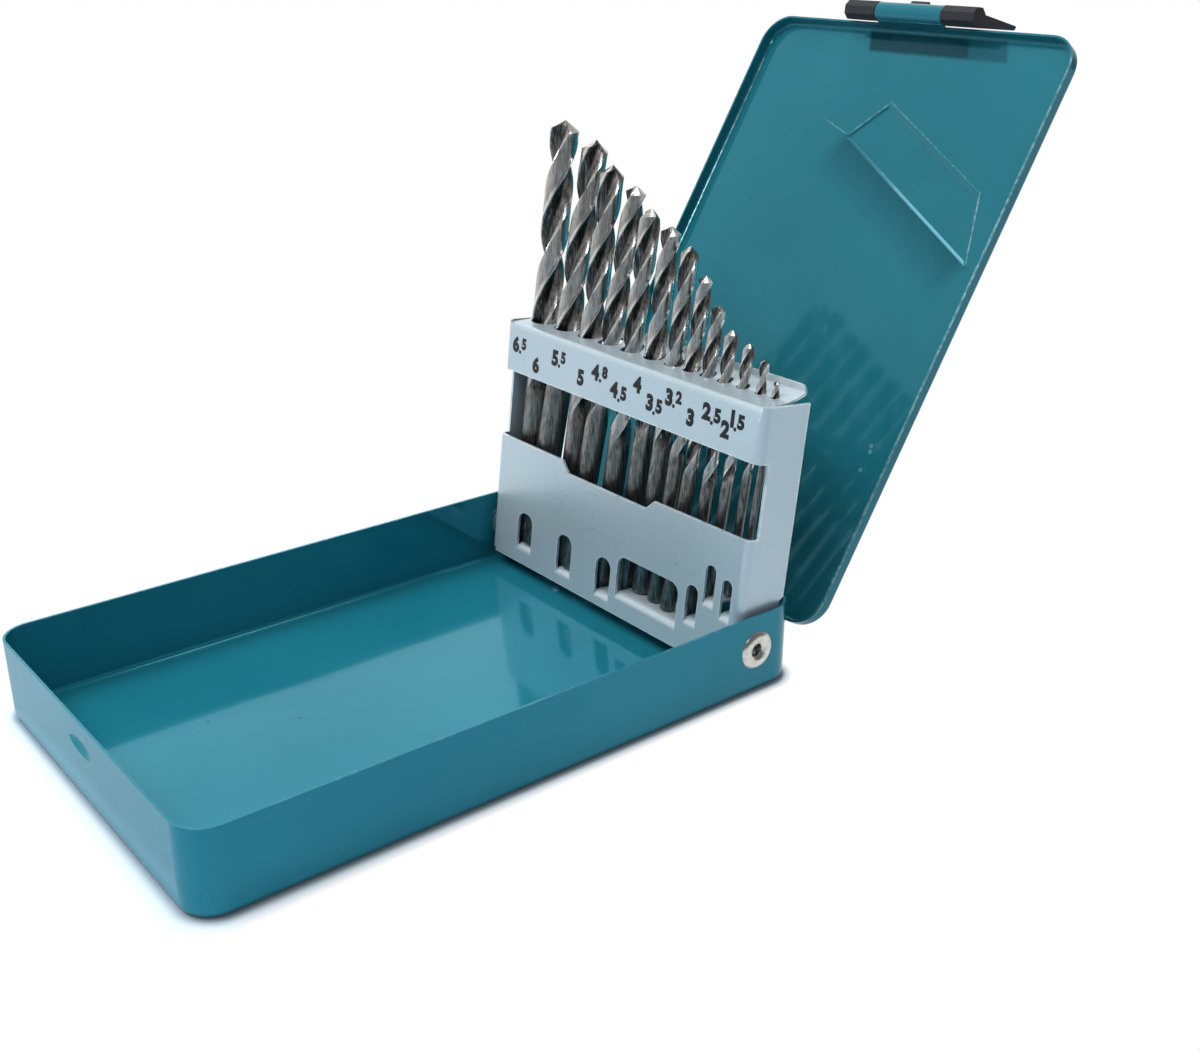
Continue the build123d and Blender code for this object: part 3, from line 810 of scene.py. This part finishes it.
def eased(node: str, width: float, segments: int = 2) -> Mesh:
    """Copy a CAD node's mesh and round its sharp edges.

    Args:
        node: The CAD node.
        width: Width of the rounding, millimetres.
        segments: Faces across the rounding.

    Returns:
        The mesh, in place.
    """
    shape = bmesh.new()
    shape.from_mesh(frame["nodes"][node].data)
    bmesh.ops.remove_doubles(shape, verts=shape.verts, dist=WELD * MM)
    bmesh.ops.dissolve_limit(
        shape, angle_limit=FLAT, use_dissolve_boundaries=False, verts=shape.verts, edges=shape.edges
    )
    mesh = bpy.data.meshes.new(node)
    shape.to_mesh(mesh)
    shape.free()
    holder = in_scene("holder", mesh)
    bevel = holder.modifiers.new("rounding", "BEVEL")
    bevel.width = width * MM
    bevel.segments = segments
    bevel.limit_method = "ANGLE"
    bevel.angle_limit = CREASE
    bevel.harden_normals = False
    bevel.use_clamp_overlap = True
    smooth = baked(holder)
    smooth.shade_smooth()
    smooth.set_sharp_from_angle(angle=CREASE)
    holder = in_scene("holder", smooth)
    weighted = holder.modifiers.new("flat_faces", "WEIGHTED_NORMAL")
    weighted.mode = "FACE_AREA"
    weighted.weight = 100
    weighted.keep_sharp = True
    return baked(holder)


def dressed(node: str, width: float, *piece: object, segments: int = 2) -> None:
    """Put a rounded copy of a CAD node in its place.

    Args:
        node: The CAD node.
        width: Width of the rounding, millimetres.
        piece: The name, material, body and slot, as as_piece takes them.
        segments: Faces across the rounding.
    """
    as_piece(eased(node, width, segments), *piece, (node,))


# --- twist drills ---
@dataclass(frozen=True)
class Drill:
    """One marked twist drill, in millimetres and degrees."""

    mark: str
    diameter: float
    flute: float
    turn: float


@dataclass
class DrillRow:
    """The graded twist drills that stand in the rack."""

    steel: Material
    helix: float = 27.0
    point_slope: float = 0.6
    relief: float = 0.3
    chamfer: float = 0.25
    run_out: float = 3.2
    shank_shine: float = 0.26
    around: int = 72
    seam: float = 0.0001
    weld: float = 0.004
    crease: float = 34.0
    land_end: float = 16 / 36
    margin: float = 2 / 36
    cleared: float = 0.965
    step: float = 0.012
    rim: float = 0.01
    hollow: tuple = (
        (0.10, 0.80), (0.22, 0.60), (0.38, 0.44), (0.55, 0.37), (0.70, 0.44), (0.84, 0.64), (0.94, 0.86),
    )
    rows: tuple = (1, 1, 3, 128, 14)
    drills: tuple = (
        Drill("6_5", 6.5, 63, 20), Drill("6_0", 6.0, 57, 75), Drill("5_5", 5.5, 57, 30),
        Drill("5_0", 5.0, 52, 110), Drill("4_8", 4.8, 52, 50), Drill("4_5", 4.5, 47, 130),
        Drill("4_0", 4.0, 43, 10), Drill("3_5", 3.5, 39, 60), Drill("3_2", 3.2, 36, 95),
        Drill("3_0", 3.0, 33, 35), Drill("2_5", 2.5, 30, 150), Drill("2_0", 2.0, 24, 80),
        Drill("1_5", 1.5, 18, 20),
    )

    def tree(self) -> Tree:
        """Geometry tree that turns a grid into a two-flute twist drill standing on its shank.

        Returns:
            A tree that takes one drill's sizes and its material.
        """
        tree = bpy.data.node_groups.new("twist_drill", "GeometryNodeTree")
        for name in ("Radius", "Length", "Flute", "Lead", "Turn", "Chamfer", "Relief"):
            tree.interface.new_socket(name=name, in_out="INPUT", socket_type="NodeSocketFloat")
        tree.interface.new_socket(name="Material", in_out="INPUT", socket_type="NodeSocketMaterial")
        tree.interface.new_socket(name="Geometry", in_out="OUTPUT", socket_type="NodeSocketGeometry")
        g = Graph(tree)
        given = g.add("NodeGroupInput").outputs
        grid = {0: 1.0, 1: 1.0, 2: self.around + 1, 3: sum(self.rows) + 1}
        mesh = g.add("GeometryNodeMeshGrid", grid).outputs["Mesh"]
        point, height, ground_and_painted_light = self.surface(g, given)
        for name, field in (("ground_and_painted_light", ground_and_painted_light), ("along", height)):
            inputs = {"Geometry": mesh, "Name": name, "Value": field}
            store = g.add("GeometryNodeStoreNamedAttribute", inputs, data_type="FLOAT", domain="POINT")
            mesh = store.outputs[0]
        mesh = g.add("GeometryNodeSetPosition", {"Geometry": mesh, "Position": point}).outputs[0]
        inputs = {"Geometry": mesh, "Distance": self.weld * MM}
        mesh = g.add("GeometryNodeMergeByDistance", inputs).outputs[0]
        bend = g.add("GeometryNodeInputMeshEdgeAngle").outputs[0]
        soft = g.math("LESS_THAN", bend, math.radians(self.crease))
        for domain, smooth in (("FACE", True), ("EDGE", soft)):
            inputs = {"Geometry": mesh, "Shade Smooth": smooth}
            mesh = g.add("GeometryNodeSetShadeSmooth", inputs, domain=domain).outputs[0]
        mesh = g.add("GeometryNodeRealizeInstances", {0: mesh}).outputs[0]
        inputs = {"Geometry": mesh, "Material": given["Material"]}
        g.add("NodeGroupOutput", {0: g.add("GeometryNodeSetMaterial", inputs).outputs[0]})
        return tree

    def surface(self, g: Graph, given: bpy.types.NodeOutputs) -> tuple[Socket, Socket, Socket]:
        """Fields that lay the grid's points round the drill and along it.

        Args:
            g: The tree to add to.
            given: The tree's inputs.

        Returns:
            Sockets of each point's place, its height, and its share of grinding and painted light.
        """
        place = g.add("ShaderNodeSeparateXYZ", {0: g.add("GeometryNodeInputPosition").outputs[0]})
        around, along = (g.math("ADD", place.outputs[axis], 0.5) for axis in (0, 1))
        half = g.math("FRACT", g.product(g.math("ADD", around, self.seam), 2.0))
        section = g.curve(half, self.section())
        behind = g.curve(half, [(0.0, 1.0), (self.land_end, 0.0), (1.0, 1.0)])

        radius, length, flute, chamfer = (given[name] for name in ("Radius", "Length", "Flute", "Chamfer"))
        face, side, neck, tip = (sum(self.rows[:count]) / sum(self.rows) for count in (1, 2, 3, 4))
        shank = g.math("SUBTRACT", length, flute)
        inner = g.math("DIVIDE", g.math("SUBTRACT", radius, chamfer), radius)
        widened = g.ramp(along, face, side, 0.0, g.math("SUBTRACT", 1.0, inner))
        spread = g.math("ADD", g.ramp(along, 0.0, face, 0.0, inner), widened)
        spread = g.math("SUBTRACT", spread, g.ramp(along, tip, 1.0))
        climbed = g.ramp(along, side, neck, 0.0, g.math("SUBTRACT", shank, chamfer))
        rise = g.math("ADD", g.ramp(along, face, side, 0.0, chamfer), climbed)
        run = g.ramp(along, neck, tip)
        run_out = g.product(radius, self.run_out)
        fade = g.ramp(g.product(run, flute), 0.0, run_out, kind="SMOOTHSTEP")
        share = g.math("ADD", 1.0, g.product(fade, g.math("SUBTRACT", section, 1.0)))
        reach = g.product(radius, share, spread)
        relieved = g.product(behind, given["Relief"], reach)
        drop = g.math("ADD", g.product(reach, self.point_slope), relieved)
        top = g.math("SUBTRACT", length, drop)
        height = g.math("ADD", rise, g.product(run, g.math("SUBTRACT", top, shank)))
        fluted = g.math("MAXIMUM", g.math("SUBTRACT", height, shank), 0.0)
        twist = g.math("DIVIDE", g.product(fluted, math.tau), given["Lead"])
        angle = g.math("ADD", g.math("ADD", g.product(around, math.tau), given["Turn"]), twist)
        across, deep = (g.product(reach, g.math(operation, angle)) for operation in ("COSINE", "SINE"))
        point = g.add("ShaderNodeCombineXYZ", {0: across, 1: deep, 2: height}).outputs[0]

        # painted light share: even on the shank, then the section's painted highlights and shade along the
        # flutes
        ground_and_painted_light = {0: fade, 2: self.shank_shine, 3: g.curve(half, self.ground_and_painted_light())}
        ground_and_painted_light = g.add("ShaderNodeMix", ground_and_painted_light).outputs[0]
        return point, height, ground_and_painted_light

    def section(self) -> list:
        """Radius as a share of full over half a turn: heel, land, margin, then the hollow flute."""
        edge, rise = self.land_end, self.land_end - self.margin
        flute = [(edge + place * (1 - edge), share) for place, share in self.hollow]
        land = [(0.0, self.cleared), (rise, self.cleared), (rise + self.step, 1.0), (edge, 1.0)]
        return [*land, *flute, (1.0, self.cleared)]

    def ground_and_painted_light(self) -> list:
        """Grinding and painted light over half a turn: painted highlights on the heel, land and margin,
        painted shade in the flute.
        """
        edge = self.land_end
        land = [(0.0, 0.90), (0.03, 0.62), (edge - 0.12, 0.52), (edge - self.margin, 1.0), (edge, 1.0)]
        return [*land, (edge + 0.02, 0.05), (0.64, 0.0), (0.80, 0.34), (0.92, 0.20), (1.0, 0.90)]

    def seat(self, drill: Drill) -> tuple[Matrix, float]:
        """Where a drill stands, from its CAD node and its joint.

        Args:
            drill: The drill.

        Returns:
            Matrix from the drill's own frame to the case's, and the drill's length in metres.
        """
        joint = next(j for j in frame["joints"] if j["child"] == f"bit_{drill.mark}")
        axis = Vector(joint["axis"]).normalized()
        points = [vertex.co for vertex in frame["nodes"][f"drill_bit_{drill.mark}"].data.vertices]
        heights = [point.dot(axis) for point in points]
        low, high = min(heights), max(heights)
        rim = [point for point, height in zip(points, heights) if height < low + self.rim * MM]
        corner = [min(p[i] for p in rim) + max(p[i] for p in rim) for i in range(3)]
        across = axis.cross(Vector((0, -1, 0))).normalized()
        deep = axis.cross(across)
        frame_matrix = Matrix((across, deep, axis)).transposed().to_4x4()
        frame_matrix.translation = Vector(corner) / 2
        return frame_matrix, high - low

    def build(self) -> None:
        """Make every drill as its own piece."""
        tree = self.tree()
        inputs = (item for item in tree.interface.items_tree if item.in_out == "INPUT")
        sockets = {item.name: item.identifier for item in inputs}
        for drill in self.drills:
            matrix, length = self.seat(drill)
            radius = drill.diameter / 2 * MM
            holder = in_scene("holder", bpy.data.meshes.new("holder"))
            modifier = holder.modifiers.new("shape", "NODES")
            modifier.node_group = tree
            land_centre = self.land_end * math.pi / 2
            sizes = {
                "Radius": radius,
                "Length": length,
                "Flute": drill.flute * MM,
                "Lead": math.tau * radius / math.tan(math.radians(self.helix)),
                "Turn": math.radians(drill.turn) - land_centre,
                "Chamfer": self.chamfer * MM,
                "Relief": self.relief,
                "Material": self.steel,
            }
            for name, value in sizes.items():
                modifier[sockets[name]] = value
            mesh = baked(holder)
            mesh.transform(matrix)
            name, body, node = (f"{kind}_{drill.mark}" for kind in ("twist_drill", "bit", "drill_bit"))
            as_piece(mesh, name, self.steel, body, "drill_steel", (node,))


# --- sheet and turned pieces ---
@dataclass
class Tray:
    """The tray with its eyelets, washers and hinge pin."""

    paint: Material
    nickel: Material
    steel: Material
    rounding: float = 0.14
    pin_rounding: float = 0.04
    rivet_rounding: float = 0.1

    def build(self) -> None:
        """Make the pieces that ride on the tray."""
        dressed("base_tray", self.rounding, "tray_shell", self.paint, "tray", "teal_paint")
        dressed("hinge_pin", self.pin_rounding, "hinge_rod", self.steel, "tray", "pin_steel")
        for side in ("left", "right"):
            for node, name in (("rack_rivet", "eyelet"), ("rack_washer", "washer")):
                node, name = f"{node}_{side}", f"{name}_{side}"
                dressed(node, self.rivet_rounding, name, self.nickel, "tray", "nickel")


@dataclass
class Lid:
    """The lid with its latch pin."""

    paint: Material
    steel: Material
    rounding: float = 0.14
    pin_rounding: float = 0.05

    def build(self) -> None:
        """Make the pieces that ride on the lid."""
        dressed("lid", self.rounding, "lid_shell", self.paint, "lid", "teal_paint")
        dressed("latch_pin", self.pin_rounding, "latch_rod", self.steel, "lid", "pin_steel")


@dataclass
class Latch:
    """The moulded latch."""

    plastic: Material
    rounding: float = 0.25

    def build(self) -> None:
        """Make the latch."""
        piece = ("latch_lever", self.plastic, "latch", "charcoal_plastic")
        dressed("latch", self.rounding, *piece, segments=3)


class Decimal(Enum):
    """How a decimal stands: its size, its lift and its point's drop, as shares of a whole figure."""

    RAISED = (0.74, 0.22, 0.03)
    LEVEL = (0.84, 0.02, 0.13)


@dataclass(frozen=True)
class Mark:
    """A printed size and its middle on the rack's front, in millimetres."""

    whole: str
    part: str
    across: float
    up: float
    decimal: Decimal = Decimal.RAISED


@dataclass
class Rack:
    """The swing-up rack with its printed sizes."""

    paint: Material
    ink: Material
    rounding: float = 0.12
    lean: float = 6.57
    front: float = 4.54
    figure: float = 4.4
    squeeze: float = 1.02
    boldness: float = 0.066
    point_size: float = 0.75
    middle: float = 0.36
    print_height: float = 0.02
    marks: tuple = (
        Mark("6", "5", -36.4, 44.7), Mark("6", "", -29.8, 41.6), Mark("5", "5", -21.8, 44.8),
        Mark("5", "", -13.7, 42.6), Mark("4", "8", -7.5, 44.9), Mark("4", "5", -0.9, 42.7, Decimal.LEVEL),
        Mark("4", "", 4.9, 45.5), Mark("3", "5", 10.6, 42.8, Decimal.LEVEL), Mark("3", "2", 16.2, 45.3),
        Mark("3", "", 21.6, 42.8), Mark("2", "5", 27.4, 45.2, Decimal.LEVEL), Mark("2", "", 31.6, 43.0),
        Mark("1", "5", 34.7, 45.6, Decimal.LEVEL),
    )

    def front_matrix(self) -> Matrix:
        """Matrix from the rack's front (across, up, out) to the case's frame, in metres."""
        pivot = next(Vector(j["pos_m"]) for j in frame["joints"] if j["child"] == "rack")
        lean = math.radians(self.lean)
        up = Vector((0, math.sin(lean), math.cos(lean)))
        out = Vector((0, -math.cos(lean), math.sin(lean)))
        matrix = Matrix((Vector((1, 0, 0)), up, out)).transposed().to_4x4()
        matrix.translation = pivot + out * self.front * MM
        return matrix

    def figure_mesh(self, text: str, size: float) -> Mesh:
        """A bold condensed figure as a thin mesh.

        Args:
            text: What it reads.
            size: Height of the type, millimetres.

        Returns:
            The figure, standing on its baseline at the origin, in metres.
        """
        curve = bpy.data.curves.new("figure", "FONT")
        curve.body = text
        curve.size = size * MM
        curve.extrude = self.print_height * MM
        curve.bevel_depth = self.boldness * size * MM
        curve.bevel_resolution = 0
        curve.resolution_u = 6
        mesh = baked(in_scene("figure", curve))
        deep = self.print_height / (self.print_height + self.boldness * size)
        mesh.transform(Matrix.Diagonal((self.squeeze, 1.0, deep, 1.0)))
        return mesh

    def print_sizes(self) -> Mesh:
        """All printed sizes in one mesh, in place.

        Returns:
            The joined figures.
        """
        shape = bmesh.new()
        for mark in self.marks:
            parts = [(mark.whole, 1.0, 0.0)]
            if mark.part:
                size, lift, drop = mark.decimal.value
                parts += [(".", self.point_size, -drop), (mark.part, size, lift)]
            meshes = [self.figure_mesh(text, self.figure * size) for text, size, _ in parts]
            spans = [(min(v.co.x for v in m.vertices), max(v.co.x for v in m.vertices)) for m in meshes]
            start = mark.across * MM - sum(high - low for low, high in spans) / 2
            for mesh, (_, _, lift), (low, high) in zip(meshes, parts, spans):
                up = (mark.up + self.figure * (lift - self.middle)) * MM
                mesh.transform(Matrix.Translation((start - low, up, 0)))
                shape.from_mesh(mesh)
                start += high - low
                bpy.data.meshes.remove(mesh)
        joined = bpy.data.meshes.new("sizes")
        shape.to_mesh(joined)
        shape.free()
        joined.transform(self.front_matrix())
        return joined

    def build(self) -> None:
        """Make the rack and print its sizes."""
        dressed("rack", self.rounding, "rack_sheet", self.paint, "rack", "grey_paint")
        as_piece(self.print_sizes(), "printed_sizes", self.ink, "rack", "grey_paint")


# --- studio ---
@dataclass
class Studio:
    """Camera, floor, world and lamps, in millimetres and degrees; four numbers are a ramp's own."""

    target: tuple = (0.0, 49.2, 23.46)
    azimuth: float = 51.04
    elevation: float = 22.89
    roll: float = 0.19
    distance: float = 311.7
    lens: float = 43.44
    floor_size: float = 6000.0
    floor_tone: float = 0.80
    lift: float = 0.012
    footprint: tuple = (43.5, 65.75)
    footprint_corner: float = 6.2
    floor_fade: tuple = (0.3, 4.2)
    # painted shadow: the floor's colour darkens within 2 mm of the tray
    contact: tuple = (0.0, 2.0, 0.45, 1.0)
    bounce: tuple = (0.68, 0.87, 1.0, 1.0)
    forward: tuple = (0.55, -0.83, 0.0)
    mirrored_floor: tuple = (-30.0, 90.0, 0.88, 0.36)
    shadow_reach: tuple = (-30.0, 80.0, 2.0, 1.0)
    ambient: float = 0.48
    mirrored_left: tuple = (-0.3, 0.5, 0.2, 1.0)
    rear_left: tuple = (-0.6, 0.8, 0.0)
    mirrored_rear: tuple = (0.1, 0.75, 0.7, 1.0)

    def camera(self) -> None:
        """Make the camera and look through it."""
        turn, tilt, roll = (math.radians(angle) for angle in (self.azimuth, self.elevation, self.roll))
        back = Vector((math.sin(turn) * math.cos(tilt), -math.cos(turn) * math.cos(tilt), math.sin(tilt)))
        level = Vector((math.cos(turn), math.sin(turn), 0))
        upright = back.cross(level)
        right = level * math.cos(roll) + upright * math.sin(roll)
        up = upright * math.cos(roll) - level * math.sin(roll)
        data = bpy.data.cameras.new("camera")
        data.sensor_fit = "HORIZONTAL"
        data.sensor_width = 36.0
        data.lens = self.lens
        data.clip_start = 0.01
        matrix = Matrix((right, up, back)).transposed().to_4x4()
        matrix.translation = (Vector(self.target) + back * self.distance) * MM
        camera = in_scene("camera", data)
        camera.matrix_world = matrix
        bpy.context.scene.camera = camera

    def floor(self) -> None:
        """Lay a plain pale floor that keeps the shadow, and darken it with a painted shadow where the tray
        meets it.
        """
        finish = Finish("studio_floor")
        straight, glossy = finish.rays()
        ahead = finish.reach((0.0, 0.0, 0.0), self.forward)
        mirrored = finish.product(glossy, finish.ramp(ahead, *self.mirrored_floor))
        seen = finish.math("MAXIMUM", straight, mirrored)
        mottle = finish.ramp(finish.grain(6.0), 0.3, 0.7, self.floor_tone - 0.01, self.floor_tone + 0.01)
        tray = (*((edge - self.footprint_corner) * MM for edge in self.footprint), 0.0)
        past = finish.vector("SUBTRACT", finish.vector("ABSOLUTE", finish.place), tray)
        reach = finish.vector("LENGTH", finish.vector("MAXIMUM", past, (0.0, 0.0, 0.0)))
        reach = finish.math("SUBTRACT", reach, self.footprint_corner * MM)
        reach = finish.product(reach, finish.ramp(ahead, *self.shadow_reach))
        near, far = (edge * MM for edge in self.floor_fade)
        fade = finish.product(finish.ramp(reach, near, far), seen)
        # painted shadow: the floor's colour darkens next to the tray
        near, far, low, high = self.contact
        kept = finish.product(mottle, finish.math("SUBTRACT", 1.0, fade))
        kept = finish.product(kept, finish.ramp(reach, near * MM, far * MM, low, high))
        finish.set(
            Base_Color=finish.blend(kept, BLACK, self.bounce),
            Roughness=0.9,
            Specular_IOR_Level=0.0,
            Emission_Color=WHITE,
            Emission_Strength=finish.product(seen, finish.ramp(fade, 0.0, 1.0, self.lift, 1.0)),
        )
        half = self.floor_size / 2 * MM
        mesh = bpy.data.meshes.new("floor")
        corners = [(across * half, deep * half, 0) for across, deep in ((-1, -1), (1, -1), (1, 1), (-1, 1))]
        mesh.from_pydata(corners, [], [(0, 1, 2, 3)])
        mesh.materials.append(finish.material)
        in_scene("floor", mesh)

    def world(self) -> None:
        """Surround the case with a white studio whose reflections are darker at the right."""
        world = bpy.data.worlds.new("studio")
        bpy.context.scene.world = world
        world.use_nodes = True
        graph = Graph(world.node_tree)
        background = world.node_tree.nodes["Background"]
        straight, glossy = graph.rays()
        way = graph.add("ShaderNodeTexCoord").outputs["Generated"]
        left = graph.vector("DOT_PRODUCT", way, (-1.0, 0.0, 0.0))
        rear = graph.vector("DOT_PRODUCT", way, self.rear_left)
        left, rear = graph.ramp(left, *self.mirrored_left), graph.ramp(rear, *self.mirrored_rear)
        unseen = graph.ramp(glossy, 0.0, 1.0, self.ambient, graph.product(left, rear))
        graph.feed(background.inputs["Color"], WHITE)
        graph.feed(background.inputs["Strength"], graph.ramp(straight, 0.0, 1.0, unseen, 1.0))

    def lamp(self, name: str, spot: tuple, size: tuple, power: float, mirrored: bool) -> None:
        """Hang a soft lamp that points at the case.

        Args:
            name: The lamp's name.
            spot: Where it hangs.
            size: Width and height of its face.
            power: Watts.
            mirrored: Whether it shows in reflections.
        """
        data = bpy.data.lights.new(name, "AREA")
        data.shape = "RECTANGLE"
        data.size, data.size_y = (edge * MM for edge in size)
        data.energy = power
        lamp = in_scene(name, data)
        lamp.visible_glossy = mirrored
        lamp.visible_camera = False
        place = Vector(spot) * MM
        aim = Vector(self.target) * MM - place
        lamp.matrix_world = Matrix.Translation(place) @ aim.to_track_quat("-Z", "Y").to_matrix().to_4x4()

    def build(self) -> None:
        """Make the studio around the case."""
        self.floor()
        self.world()
        self.lamp("key_lamp", (-190, -300, 760), (500, 500), 7.2, False)
        self.lamp("fill_lamp", (-500, -650, 260), (500, 400), 0.9, False)
        self.lamp("side_lamp", (700, -60, 420), (500, 400), 0.4, False)
        self.lamp("overhead_strip", (-98, 200, 665), (260, 150), 0.6, True)
        self.lamp("front_strip", (140, -330, 510), (130, 80), 0.6, True)
        self.lamp("left_strip", (-625, 250, 155), (220, 200), 1.5, True)
        bpy.context.scene.view_settings.view_transform = "Standard"


def main() -> None:
    """Build the case, its finishes and the studio."""
    logging.basicConfig(level=logging.INFO, format="%(name)s: %(message)s")
    studio = Studio()
    studio.camera()
    paint = GlossPaint().build()
    nickel = PlatedMetal("nickel_plate", colour(228, 226, 218), colour(214, 210, 200), 0.22).build()
    steel = PlatedMetal("drawn_steel", colour(150, 150, 150), colour(100, 98, 95), 0.3).build()
    Tray(paint, nickel, steel).build()
    Lid(LidPaint().build(), steel).build()
    Latch(MouldedPlastic().build()).build()
    Rack(SilverPaint().build(), PrintedInk().build()).build()
    DrillRow(GroundSteel().build()).build()
    studio.build()


if __name__ == "__main__":
    main()
